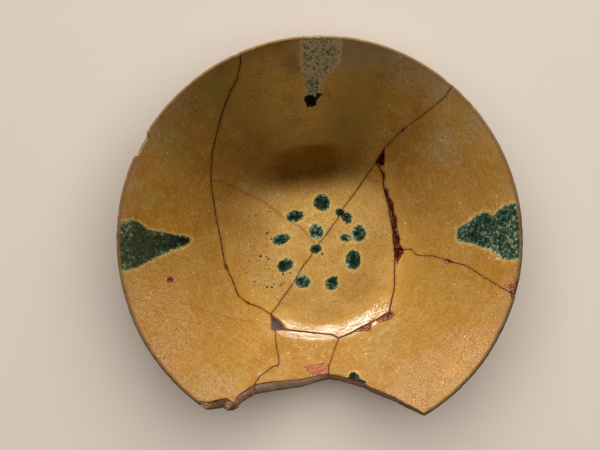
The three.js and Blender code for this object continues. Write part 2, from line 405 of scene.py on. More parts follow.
# Where glaze and clay have flaked away beside the breaks: outline, depth.
FLAKES = [
    ([(40.2, 33.4), (42, 33.8), (43.2, 31.4), (43.4, 28.2), (46, 24.9), (46.6, 19.3),
      (48.6, 14.3), (48.6, 8.1), (50.2, 2), (49.8, -1), (52.4, -4), (51.9, -6.6), (48.2, -13),
      (46.6, -9), (46.2, 0), (45.4, 8), (44.4, 17.4), (41.6, 28)], 1.5),
    ([(34.6, 49.2), (39.9, 57.6), (40.4, 51), (39.9, 46.2), (37.4, 47.2)], 1.6),
    ([(38.3, 43.5), (41, 42.2), (41.2, 38.4), (39.4, 38)], 0.9),
    ([(43.4, -42), (46, -44.2), (42.5, -47.6), (36.5, -49), (34.5, -47.8), (38, -46)], 0.3),
    ([(31.6, -49.4), (31.2, -54.9), (27.4, -54), (22.2, -55), (22, -53.7)], 0.25),
    ([(74.6, -10.3), (78, -10.9), (81.4, -12.1), (80.6, -13.3), (77, -13)], 0.7),
    ([(-58.9, -11.8), (-57.4, -12.4), (-56.6, -16.6), (-58.2, -16.4)], 0.6),
    ([(-91, -22.6), (-89, -22), (-87.6, -23.6), (-88.2, -25.6), (-90.2, -25.8),
      (-91.2, -24.4)], 1.0),
    ([(109.8, -28.4), (113, -25.6), (118, -24), (121, -36), (112.4, -34.4)], 0.1),
    ([(-45.6, -37), (-44, -36.2), (-42.6, -38.4), (-44, -38.8)], 0.5),
    ([(49.4, 66.4), (51.6, 66.6), (52.2, 68.2), (50.2, 68.2)], 0.4),
]
# Where glaze lifted off and left smooth orange clay.
PEELED = [(-9.4, -75.8), (-4, -75), (6.6, -73.9), (5.8, -78), (5.2, -84), (-2.4, -84),
          (-5, -80.6), (-8.4, -78.4)]
# Soft patches: centre, radius, strength. Bloom is the grey film of long burial.
PATCHES = {
    "bloom": [(72, 90, 9, 0.75), (76, 56, 12, 0.6), (43, 107, 9, 0.55), (56, 97, 10, 0.6),
        (92, 68, 10, 0.35), (-84, 84, 8, 0.45), (-97, 62, 11, 0.35), (-17, 110, 9, 0.45),
        (16, 112, 12, 1.0), (30, 110, 12, 0.8), (46, 105, 12, 0.8), (62, 97, 10, 0.7),
        (101, 4, 5, 0.4), (-40, -12, 18, 0.12), (-62, -88, 12, 0.3)],
    "rust": [(-17, 106, 8, 0.8), (-24, 112, 6, 0.5), (-107, 42, 9, 0.5), (100, -9, 5, 0.35),
        (-113, 22, 8, 0.4), (60, 88, 7, 0.3)],
    "olive": [(-63, 88, 13, 0.7), (-104, 26, 12, 0.35), (-90, 55, 12, 0.5), (34, -62, 16, 0.25),
        (112, 36, 9, 0.4), (20, 76, 20, 0.35), (-18, -84, 9, 0.15), (70, -30, 18, 0.25),
        (-48, -78, 9, 0.25)],
    # Rubbed, sandy glaze; its pale tone also paints the sheen along the low rim.
    "rubbed": [(-100, -40, 22, 0.5), (-92, -66, 20, 0.7), (-72, -91, 17, 0.55),
        (90, -66, 14, 1.0), (102, -52, 16, 0.3), (78, -82, 20, 0.7), (60, -94, 16, 0.8),
        (112, 60, 12, 0.25), (110, -38, 13, 0.4), (-112, 40, 14, 0.45), (-42, -12, 16, 0.3),
        (46, -100, 8, 0.3)],
    # Worn, dulled glaze; along the right rim these patches also paint the sheen that lies there.
    "worn": [(-5, -84, 40, 0.12), (55, -66, 36, 0.12), (-58, -70, 32, 0.12), (113, 18, 14, 0.9),
        (110, -42, 18, 0.15), (100, 62, 14, 0.9), (82, 74, 16, 0.6), (-112, 30, 12, 0.3)],
    # Painted light: a bright pale amber lifts the far (+Y) wall, which the strip leaves in shade,
    # and paints sheen along the low right rim.
    "thin": [(92, -66, 16, 0.5), (76, -84, 15, 0.9), (-10, 92, 42, 1.0), (42, 84, 18, 0.3),
        (-40, 100, 16, 0.5)],
    # Painted shade: darker amber on the floor at the foot of the far (+Y) wall, where the rim's
    # shadow falls.
    "pooled": [(0, 50, 17, 1.0), (-18, 47, 14, 0.9), (19, 48, 14, 0.5), (-34, 42, 10, 0.4),
        (34, 42, 10, 0.5)],
    # Painted shade: a darker amber over walls and floor places that the strip lights, to bring
    # their brightness down.
    "aged": [(-70, -88, 22, 1.0), (-74, -40, 38, 1.0), (-40, -72, 32, 0.15), (4, -74, 30, 0.85),
        (50, -72, 36, 1.0), (78, -42, 34, 0.9), (88, -10, 20, 0.5), (-92, -24, 26, 0.8),
        (84, 18, 34, 1.0), (36, 0, 12, 0.5), (26, -26, 14, 0.5), (82, 50, 26, 0.6),
        (-44, 6, 16, 0.7), (-46, -14, 12, 0.7)],
    "peppered": [(-42, -10, 20, 1.0), (-20, -30, 20, 0.6), (60, -50, 30, 0.4),
        (-80, -40, 30, 0.5), (-60, 60, 40, 0.3), (60, 40, 40, 0.3), (10, -20, 40, 0.35)],
}
# Beads of copper that spat from the brush: centre, width.
SPATTER = [
    (-32.8, 6.2, 1.1), (-30.3, 2.5, 1.0), (-36.8, -8.1, 1.3), (-33.1, -8.7, 0.8),
    (-31.8, -10.0, 1.0), (-22.8, -19.3, 1.1), (-18.4, -18.7, 0.9), (-32.7, -27.4, 1.1),
    (-29.6, -27.4, 1.0), (-34.6, -26.2, 0.6), (-24.0, -26.2, 0.9), (-22.8, -25.0, 0.8),
    (-49.9, -2.2, 0.6), (-44.0, -11.3, 0.7), (-43.0, -1.9, 0.6), (-49.5, -20.3, 0.7),
    (-46.1, -16.9, 0.6), (-40.2, -24.3, 0.8), (-34.3, -31.2, 0.6), (-44.5, -28.7, 0.6),
    (-31.5, -16.2, 0.6), (-39.7, 17.1, 0.9), (-30.9, 19.7, 0.8),
]
PATCH_REACH = 1.35
FAR_OUTSIDE = -50.0  # stands for no copper and no flake at all near a point
SPILL = (4, 40, 1.4)  # copper past the lip: where it starts to thin, its end, how fast it thins
HOLLOW_EDGE = 0.9  # width of the slope at the edge of a flake
BROWNED = (-80, 20)  # copper turns brown beyond this place to the left, over this width


def soft_patches(points, patches):
    """The strongest patch at each point. One is at full strength in its inner third, and fades to
    nothing at PATCH_REACH times its radius."""
    total = np.zeros(len(points))
    for x, y, radius, strength in patches:
        away = np.hypot(points[:, 0] - x, points[:, 1] - y) / radius
        total = np.maximum(total, strength * np.clip(PATCH_REACH - away, 0, 1))
    return total


def painted_fields(points, past_lip):
    """Distances in mm into the copper and the flakes, more than zero inside them, with the other
    marks of making and wear, for points in plan."""
    copper = np.full(len(points), FAR_OUTSIDE)
    thinness = np.zeros(len(points))
    for x, y, width, height, tilt, thin in DABS:
        turn = math.radians(tilt)
        away = points - (x, y)
        u = (away[:, 0] * math.cos(turn) + away[:, 1] * math.sin(turn)) * 2 / width
        v = (away[:, 1] * math.cos(turn) - away[:, 0] * math.sin(turn)) * 2 / height
        depth = (1 - np.hypot(u, v)) * min(width, height) / 2
        thinness = np.where(depth > copper, thin, thinness)
        copper = np.maximum(copper, depth)
    weathering = thinness
    for outline, tip, rim in SPLASHES.values():
        depth = depth_inside(points, outline)
        reach = np.hypot(points[:, 0], points[:, 1])
        near, far = min(math.hypot(*p) for p in outline), RIM_RADIUS
        share = np.clip((reach - near) / (far - near), 0, 1)
        weathering = np.where(depth > copper, tip + (rim - tip) * share, weathering)
        copper = np.maximum(copper, depth)
    spill_start, spill_end, thinning = SPILL
    copper = copper - np.clip(past_lip - spill_start, 0, spill_end) * thinning
    flaked = np.full(len(points), FAR_OUTSIDE)
    hollow = np.zeros(len(points))
    for outline, depth_mm in FLAKES:
        inside = depth_inside(points, outline)
        flaked = np.maximum(flaked, inside)
        hollow = np.maximum(hollow, depth_mm * np.clip(inside / HOLLOW_EDGE, 0, 1))
    fields = {
        "copper": copper, "weathering": weathering, "flaked": flaked, "hollow": hollow,
        "browned": np.clip((BROWNED[0] - points[:, 0]) / BROWNED[1], 0, 1),
        "peeled": depth_inside(points, PEELED),
    }
    for key, patches in PATCHES.items():
        fields[key] = soft_patches(points, patches)
    return fields


# ------------------------------------------------------------------ blanks: closed, not yet thrown
SKIN, BREAK = 0, 1
JOINED_ROUGHNESS = 0.25  # of a face that is joined again, where an open one has 1
SEALED_LIP = 0.03  # points this near to the crest belong to both skins
BLANK_DEPTH = 10  # how far below the inner skin the outer one lies before it is thrown
FAR_AWAY = 50.0  # stands for no crack near a point


def sherd_blank(name, plan, triangles, line_of_edge, lines):
    """A closed mesh that holds, for every point, where it lies on the thrown profile and round the
    bowl. It takes its shape when it is thrown."""
    rim, shift, slant = inward_shift(plan, triangles, line_of_edge)
    used, flat = np.unique(triangles, return_inverse=True)
    faces = flat.reshape(-1, 3)
    local = {old: new for new, old in enumerate(used)}
    place = plan[used]
    shift, slant = shift[used], slant[used]
    count = len(used)
    lip_points = {local[i] for edge in rim for i in edge
                  if line_of_edge[(min(edge), max(edge))] == "lip"}
    raw = np.full(count, JOINED_ROUGHNESS)
    for a, b in rim:
        if line_of_edge[(min(a, b), max(a, b))] in ("lost_section", "hole", "lip"):
            raw[[local[a], local[b]]] = 1.0
    sealed = np.zeros(count, bool)
    for i in lip_points:
        sealed[i] = np.hypot(*place[i]) > CREST_RADIUS - SEALED_LIP
    outer = np.arange(count) + count
    outer[sealed] = np.where(sealed)[0]
    owner = [np.arange(count), np.arange(count)]
    through = [np.zeros(count), np.ones(count)]
    columns = {}
    total = 2 * count
    for i in {local[i] for edge in rim for i in edge}:
        if sealed[i]:
            columns[i] = [i] * (BREAK_STEPS + 1)
            continue
        fresh = list(range(total, total + BREAK_STEPS - 1))
        total += BREAK_STEPS - 1
        owner.append(np.full(BREAK_STEPS - 1, i))
        through.append(np.arange(1, BREAK_STEPS) / BREAK_STEPS)
        columns[i] = [i] + fresh + [outer[i]]
    polygons = faces.tolist() + outer[faces[:, ::-1]].tolist()
    kinds = [SKIN] * len(polygons)
    for a, b in rim:
        left, right = columns[local[a]], columns[local[b]]
        for step in range(BREAK_STEPS):
            corners = [right[step], left[step], left[step + 1], right[step + 1]]
            corners = list(dict.fromkeys(corners))
            if len(corners) > 2:
                polygons.append(corners)
                kinds.append(BREAK)
    owner = np.concatenate(owner)
    through = np.concatenate(through)
    open_share = np.interp(through, *CRACK_SECTION)
    place = place[owner] + shift[owner] * open_share[:, None] + slant[owner] * through[:, None]
    radius = np.minimum(np.hypot(*place.T), CREST_RADIUS)
    inner, out = along_inside(radius), along_outside(radius)
    past_lip = np.where(through > 0.5, out - LIP_LENGTH, 0)
    oval = place * (1, OVALNESS)
    fields = painted_fields(oval, past_lip)
    cracks = np.full(len(oval), FAR_AWAY)
    hairline = np.full(len(oval), FAR_AWAY)
    for line_name, line in lines.items():
        near = distance_to_line(place, line)
        if line_name in HAIRLINES:
            hairline = np.minimum(hairline, near)
        elif line_name in DIRT_REACH:
            cracks = np.minimum(cracks, near - DIRT_REACH[line_name])
    fields.update(along_inside=inner, along_outside=out, through=through,
                  bearing=np.arctan2(place[:, 1], place[:, 0]), crack=cracks,
                  hairline=hairline, raw=raw[owner], plan_radius=radius,
                  from_lip=(1 - through) * (inner - LIP_LENGTH) + through * (out - LIP_LENGTH))
    flat_place = np.column_stack([oval, -through * BLANK_DEPTH]) * MM
    mesh = bpy.data.meshes.new(name + "_blank")
    mesh.from_pydata(flat_place.tolist(), [], polygons)
    for key, values in fields.items():
        layer = mesh.attributes.new(key, "FLOAT", "POINT")
        layer.data.foreach_set("value", values.astype(np.float32))
    layer = mesh.attributes.new("kind", "INT", "FACE")
    layer.data.foreach_set("value", np.array(kinds, np.int32))
    blank = bpy.data.objects.new(name, mesh)
    bpy.context.scene.collection.objects.link(blank)
    return blank


# ------------------------------------------------------------------ node helpers
def add(tree, kind, links=None, **settings):
    """One node with its settings, its inputs joined to other nodes or given values."""
    node = tree.nodes.new(kind)
    for key, value in settings.items():
        setattr(node, key, value)
    for socket, value in (links or {}).items():
        if isinstance(value, bpy.types.Node):
            value = value.outputs[0]
        if isinstance(value, bpy.types.NodeSocket):
            tree.links.new(value, node.inputs[socket])
        else:
            node.inputs[socket].default_value = value
    return node


def times(tree, first, *others):
    """The product of some values."""
    for other in others:
        first = add(tree, "ShaderNodeMath", {0: first, 1: other}, operation="MULTIPLY")
    return first


def new_tree(name, floats=(), objects=()):
    """An empty Geometry Nodes tree with a geometry in and out and named inputs."""
    tree = bpy.data.node_groups.new(name, "GeometryNodeTree")
    sockets = [("Geometry", "OUTPUT", "Geometry"), ("Geometry", "INPUT", "Geometry")]
    sockets += [(label, "INPUT", "Float") for label in floats]
    sockets += [(label, "INPUT", "Object") for label in objects]
    for label, way, kind in sockets:
        tree.interface.new_socket(label, in_out=way, socket_type="NodeSocket" + kind)
    return tree, add(tree, "NodeGroupInput"), add(tree, "NodeGroupOutput")


def run_tree(piece, tree, inputs):
    """Runs a tree on a piece and keeps the result as the piece's plain mesh."""
    modifier = piece.modifiers.new("making", "NODES")
    modifier.node_group = tree
    for item in tree.interface.items_tree:
        if item.in_out == "INPUT" and item.name in inputs:
            modifier[item.identifier] = inputs[item.name]
    bpy.context.view_layer.update()
    evaluated = piece.evaluated_get(bpy.context.evaluated_depsgraph_get())
    mesh = bpy.data.meshes.new_from_object(evaluated)
    piece.modifiers.remove(modifier)
    blank, piece.data = piece.data, mesh
    bpy.data.meshes.remove(blank)
    mesh.name = piece.name


# ------------------------------------------------------------------ throwing
RING_FADE = 7.0  # the potter's rings die away this near to the lip
FOOT_FADE = (6, 2)  # and between these distances before the foot
BED_OF_FLAKE = (380.0, 1.4, 0.3)  # noise in a flake: its scale, its share of the depth, the least
LEVEL_FOOT = (2, 30)  # heights between which the bowl starts to go out of true
WORN_BAND = (3.2, 0.6)  # depths below the rim between which the lip is nibbled
FOOT_EDGE = float(PROFILE_LENGTH[CREST + int(np.argmax(PROFILE[CREST:, 1] < 0.01))] - LIP_LENGTH)


def profile_curve():
    """The thrown section as a curve, for the throwing tree to read."""
    data = bpy.data.curves.new("thrown_profile", "CURVE")
    data.dimensions = "3D"
    spline = data.splines.new("POLY")
    spline.points.add(len(PROFILE) - 1)
    for point, (radius, height) in zip(spline.points, PROFILE):
        point.co = (radius * MM, 0, height * MM, 1)
    curve = bpy.data.objects.new("thrown_profile", data)
    bpy.context.scene.collection.objects.link(curve)
    return curve


def throwing_tree(skin, broken):
    """Throws a blank. Each point lies between a place on the inner face and one on the outer face,
    both read from the profile and turned round the axis. The faces carry the rings of the potter's
    fingers, flakes sink into the wall, and the breaks get the grain of the clay."""
    tree, enter, leave = new_tree("throw_bowl", floats=(
        "Ovalness", "Ring height", "Ring spacing", "Warp", "Nibble", "Break grain", "Flake depth"),
        objects=("Profile",))
    fields = {key: add(tree, "GeometryNodeInputNamedAttribute", {"Name": key}, data_type="FLOAT")
              for key in ("along_inside", "along_outside", "through", "bearing", "raw", "hollow")}
    profile = add(tree, "GeometryNodeObjectInfo", {"Object": enter.outputs["Profile"]})
    oval = add(tree, "ShaderNodeCombineXYZ", {0: 1.0, 1: enter.outputs["Ovalness"], 2: 1.0})
    faces = {}
    for side in ("along_inside", "along_outside"):
        metres = times(tree, fields[side], MM)
        spot = add(tree, "GeometryNodeSampleCurve", {
            "Curves": profile.outputs["Geometry"], "Length": metres},
            mode="LENGTH", use_all_curves=True)
        turned = add(tree, "ShaderNodeVectorRotate", {
            "Vector": spot.outputs["Position"], "Angle": fields["bearing"]},
            rotation_type="Z_AXIS")
        faces[side] = add(tree, "ShaderNodeVectorMath", {0: turned, 1: oval}, operation="MULTIPLY")
    across = add(tree, "ShaderNodeVectorMath", {
        0: faces["along_outside"], 1: faces["along_inside"]}, operation="SUBTRACT")
    into_wall = add(tree, "ShaderNodeVectorMath", {0: across}, operation="NORMALIZE")
    for side, sign in (("along_inside", -1.0), ("along_outside", 1.0)):
        drift = add(tree, "ShaderNodeTexNoise", {"Vector": faces[side], "Scale": 9.0})
        count = add(tree, "ShaderNodeMath", {0: fields[side], 1: enter.outputs["Ring spacing"]},
                    operation="DIVIDE")
        drifted = add(tree, "ShaderNodeMath", {0: drift, 1: 1.8, 2: count},
                      operation="MULTIPLY_ADD")
        ring = add(tree, "ShaderNodeTexNoise", {"W": drifted, "Scale": 1.0, "Detail": 2.0},
                   noise_dimensions="1D")
        level = add(tree, "ShaderNodeMath", {0: ring, 1: 0.5}, operation="SUBTRACT")
        from_lip = add(tree, "ShaderNodeMath", {0: fields[side], 1: LIP_LENGTH},
                       operation="SUBTRACT")
        away = add(tree, "ShaderNodeMath", {0: from_lip}, operation="ABSOLUTE")
        fade_in = add(tree, "ShaderNodeMapRange", {"Value": away, "From Max": RING_FADE})
        fade_out = add(tree, "ShaderNodeMapRange", {
            "Value": from_lip, "From Min": FOOT_EDGE - FOOT_FADE[0],
            "From Max": FOOT_EDGE - FOOT_FADE[1], "To Min": 1.0, "To Max": 0.0})
        lift = times(tree, fade_in, fade_out, enter.outputs["Ring height"], level)
        if side == "along_inside":
            scale, share, least = BED_OF_FLAKE
            bed = add(tree, "ShaderNodeTexNoise", {
                "Vector": faces[side], "Scale": scale, "Detail": 3.0})
            rough = add(tree, "ShaderNodeMath", {0: bed, 1: share, 2: least},
                        operation="MULTIPLY_ADD")
            sunk = times(tree, fields["hollow"], enter.outputs["Flake depth"], rough)
            lift = add(tree, "ShaderNodeMath", {0: lift, 1: sunk}, operation="SUBTRACT")
        signed = times(tree, lift, sign)
        step = add(tree, "ShaderNodeVectorMath", {0: into_wall, "Scale": signed},
                   operation="SCALE")
        faces[side] = add(tree, "ShaderNodeVectorMath", {0: faces[side], 1: step})
    place = add(tree, "ShaderNodeMix", {
        "Factor": fields["through"], 4: faces["along_inside"], 5: faces["along_outside"]},
        data_type="VECTOR").outputs[1]
    # the whole bowl went slightly out of true in the kiln, but stands flat
    sway = add(tree, "ShaderNodeTexNoise", {"Vector": place, "Scale": 11.0, "Detail": 1.0})
    centred = add(tree, "ShaderNodeVectorMath", {0: sway.outputs["Color"], 1: (0.5, 0.5, 0.5)},
                  operation="SUBTRACT")
    level = add(tree, "ShaderNodeSeparateXYZ", {0: place})
    above_foot = add(tree, "ShaderNodeMapRange", {
        "Value": level.outputs["Z"], "From Min": LEVEL_FOOT[0] * MM,
        "From Max": LEVEL_FOOT[1] * MM})
    sway_size = times(tree, above_foot, enter.outputs["Warp"])
    swayed = add(tree, "ShaderNodeVectorMath", {0: centred, "Scale": sway_size},
                 operation="SCALE")
    # small bites out of the worn lip
    lip_top = add(tree, "ShaderNodeMapRange", {
        "Value": level.outputs["Z"], "From Min": (RIM_HEIGHT - WORN_BAND[0]) * MM,
        "From Max": (RIM_HEIGHT - WORN_BAND[1]) * MM})
    bites = add(tree, "ShaderNodeTexNoise", {"Vector": place, "Scale": 190.0, "Detail": 3.0})
    bite = add(tree, "ShaderNodeMapRange", {"Value": bites, "From Min": 0.52, "From Max": 0.78})
    bitten = times(tree, bite, enter.outputs["Nibble"], lip_top)
    outward = add(tree, "ShaderNodeVectorMath", {0: place, 1: (-1.0, -1.0, 0.0)},
                  operation="MULTIPLY")
    inward = add(tree, "ShaderNodeVectorMath", {0: outward}, operation="NORMALIZE")
    downward = add(tree, "ShaderNodeVectorMath", {0: inward, 1: (0.0, 0.0, -0.8)})
    nibbled = add(tree, "ShaderNodeVectorMath", {0: downward, "Scale": bitten},
                  operation="SCALE")
    strayed = add(tree, "ShaderNodeVectorMath", {0: swayed, 1: nibbled})
    final = add(tree, "ShaderNodeVectorMath", {0: place, 1: strayed})
    thrown = add(tree, "GeometryNodeSetPosition", {
        "Geometry": enter.outputs["Geometry"], "Position": final})
    # grain of the broken clay, dying away at both skins
    grain = add(tree, "ShaderNodeTexNoise", {
        "Vector": place, "Scale": 240.0, "Detail": 4.0, "Roughness": 0.65})
    back = add(tree, "ShaderNodeMath", {0: 1.0, 1: fields["through"]}, operation="SUBTRACT")
    between = times(tree, fields["through"], back)
    inside_wall = add(tree, "ShaderNodeMapRange", {"Value": between, "From Max": 0.16})
    crumbled = add(tree, "ShaderNodeVectorMath", {0: grain.outputs["Color"],
                                                  1: (0.5, 0.5, 0.5)}, operation="SUBTRACT")
    grain_size = times(tree, fields["raw"], inside_wall, enter.outputs["Break grain"])
    grained = add(tree, "ShaderNodeVectorMath", {0: crumbled, "Scale": grain_size},
                  operation="SCALE")
    broken_off = add(tree, "GeometryNodeSetPosition", {"Geometry": thrown, "Offset": grained})
    geometry = add(tree, "GeometryNodeRealizeInstances", {"Geometry": broken_off})
    kind = add(tree, "GeometryNodeInputNamedAttribute", {"Name": "kind"}, data_type="INT")
    for number, material in ((SKIN, skin), (BREAK, broken)):
        chosen = add(tree, "FunctionNodeCompare", {2: kind, 3: number}, data_type="INT",
                     operation="EQUAL")
        geometry = add(tree, "GeometryNodeSetMaterial", {
            "Geometry": geometry, "Selection": chosen, "Material": material})
    tree.links.new(geometry.outputs[0], leave.inputs[0])
    return tree


def finish_sherd(piece):
    """Smooth faces with a hard edge where the skin meets a break, kept inside the frame's box."""
    mesh = piece.data
    co = np.empty(len(mesh.vertices) * 3, np.float32)
    mesh.vertices.foreach_get("co", co)
    kept = np.clip(co.reshape(-1, 3), CAD_BOX[0], CAD_BOX[1])
    mesh.vertices.foreach_set("co", kept.astype(np.float32).ravel())
    mesh.polygons.foreach_set("use_smooth", np.ones(len(mesh.polygons), bool))
    kind = np.empty(len(mesh.polygons), np.int32)
    mesh.attributes["kind"].data.foreach_get("value", kind)
    loop_edges = np.empty(len(mesh.loops), np.int32)
    mesh.loops.foreach_get("edge_index", loop_edges)
    totals = np.empty(len(mesh.polygons), np.int32)
    mesh.polygons.foreach_get("loop_total", totals)
    loop_kind = np.repeat(kind, totals)
    touches = [np.zeros(len(mesh.edges), bool) for _ in (SKIN, BREAK)]
    for number in (SKIN, BREAK):
        touches[number][loop_edges[loop_kind == number]] = True
    mesh.edges.foreach_set("use_edge_sharp", touches[SKIN] & touches[BREAK])
    mesh.update()


# ------------------------------------------------------------------ finishes
def colour(hex_value):
    """An sRGB hex colour as linear red, green, blue and alpha."""
    parts = [int(hex_value[i:i + 2], 16) / 255 for i in (1, 3, 5)]
    return [p / 12.92 if p <= 0.04045 else ((p + 0.055) / 1.055) ** 2.4 for p in parts] + [1.0]


def new_material(name, ior):
    """A material with its shader, and the place on the object in millimetres."""
    material = bpy.data.materials.new(name)
    material.use_nodes = True
    tree = material.node_tree
    shader = tree.nodes["Principled BSDF"]
    shader.inputs["IOR"].default_value = ior
    object_place = add(tree, "ShaderNodeTexCoord").outputs["Object"]
    place = add(tree, "ShaderNodeVectorMath", {0: object_place, "Scale": 1 / MM},
                operation="SCALE")
    return material, tree, shader, place


def grains(tree, place, sizes):
    """Noise of several sizes in millimetres, each from about 0.3 to 0.7."""
    return {name: add(tree, "ShaderNodeTexNoise", {
        "Vector": place, "Scale": 1 / size, "Detail": detail, "Roughness": 0.6}).outputs[0]
        for name, (size, detail) in sizes.items()}


def ragged(tree, distance, grain, stray, soft, edge=0.0):
    """From 0 outside a place to 1 inside it. Its edge strays with a grain, and fades over a soft
    width, in the units of the distance."""
    strayed = add(tree, "ShaderNodeMath", {0: grain, 1: 2 * stray, 2: distance},
                  operation="MULTIPLY_ADD")
    return add(tree, "ShaderNodeMapRange", {
        "Value": strayed, "From Min": edge + stray - soft / 2,
        "From Max": edge + stray + soft / 2}).outputs[0]


def specks(tree, place, spacing, width, where=1.0):
    """Small spots, at most a width across and about a spacing apart, in millimetres."""
    cells = add(tree, "ShaderNodeTexVoronoi", {"Vector": place, "Scale": 1 / spacing})
    radius = 0.5 * width / spacing
    spots = add(tree, "ShaderNodeMapRange", {
        "Value": cells.outputs["Distance"], "From Min": radius, "From Max": radius * 0.55})
    return times(tree, spots, where)


def scratch_marks(tree, place):
    """Short fine scratches that lie in two directions: noise stretched long and cut off high."""
    marks = []
    for turn in (0.6, -0.7):
        turned = add(tree, "ShaderNodeVectorRotate", {"Vector": place, "Angle": turn},
                     rotation_type="Z_AXIS")
        stretched = add(tree, "ShaderNodeVectorMath", {0: turned, 1: (0.1, 1.6, 0.1)},
                        operation="MULTIPLY")
        noise = add(tree, "ShaderNodeTexNoise", {"Vector": stretched, "Scale": 1.0, "Detail": 1.0})
        marks.append(add(tree, "ShaderNodeMapRange", {
            "Value": noise, "From Min": 0.72, "From Max": 0.8}).outputs[0])
    return add(tree, "ShaderNodeMath", {0: marks[0], 1: marks[1]}, operation="MAXIMUM").outputs[0]


def lay_over(tree, shader, base, layers, shine=0.5):
    """Lays finishes over a base one by one. Each is a mask, a colour and a roughness."""
    tone, rough = base
    for mask, over_tone, over_rough in layers:
        if isinstance(over_tone, str):
            over_tone = colour(over_tone)
        tone = add(tree, "ShaderNodeMix", {"Factor": mask, 6: tone, 7: over_tone},
                   data_type="RGBA").outputs[2]
        rough = add(tree, "ShaderNodeMix", {"Factor": mask, 2: rough, 3: over_rough}).outputs[0]
    # worn and broken places scatter light and keep little gloss
    gloss = add(tree, "ShaderNodeMapRange", {"Value": rough, "From Min": 0.1, "From Max": 0.18,
                                             "To Min": shine, "To Max": 0.06}).outputs[0]
    tree.links.new(tone, shader.inputs["Base Color"])
    tree.links.new(rough, shader.inputs["Roughness"])
    tree.links.new(gloss, shader.inputs["Specular IOR Level"])


def bump(tree, shader, heights):
    """Relief in millimetres: each height is a value from 0 to 1 and its size."""
    total = 0.0
    for value, size in heights:
        total = add(tree, "ShaderNodeMath", {0: value, 1: size, 2: total},
                    operation="MULTIPLY_ADD")
    relief = add(tree, "ShaderNodeBump", {"Height": total, "Distance": MM, "Strength": 1.0})
    tree.links.new(relief.outputs[0], shader.inputs["Normal"])


def ramp(tree, value, stops):
    """A colour picked along a row of stops, each a value and a colour."""
    low, high = stops[0][0], stops[-1][0]
    share = add(tree, "ShaderNodeMapRange", {"Value": value, "From Min": low, "From Max": high})
    node = add(tree, "ShaderNodeValToRGB", {"Fac": share})
    marks = node.color_ramp.elements
    while len(marks) < len(stops):
        marks.new(1.0)
    for mark, (stop, tone) in zip(marks, stops):
        mark.position = (stop - low) / (high - low)
        mark.color = colour(tone)
    return node.outputs[0]


WALL_FOOT = (62.0, 59.0)  # radii between which the wall gives way to the turn of the floor
FLOOR_TURN = (46.0, 51.0)  # radii between which the floor gives way to its turn


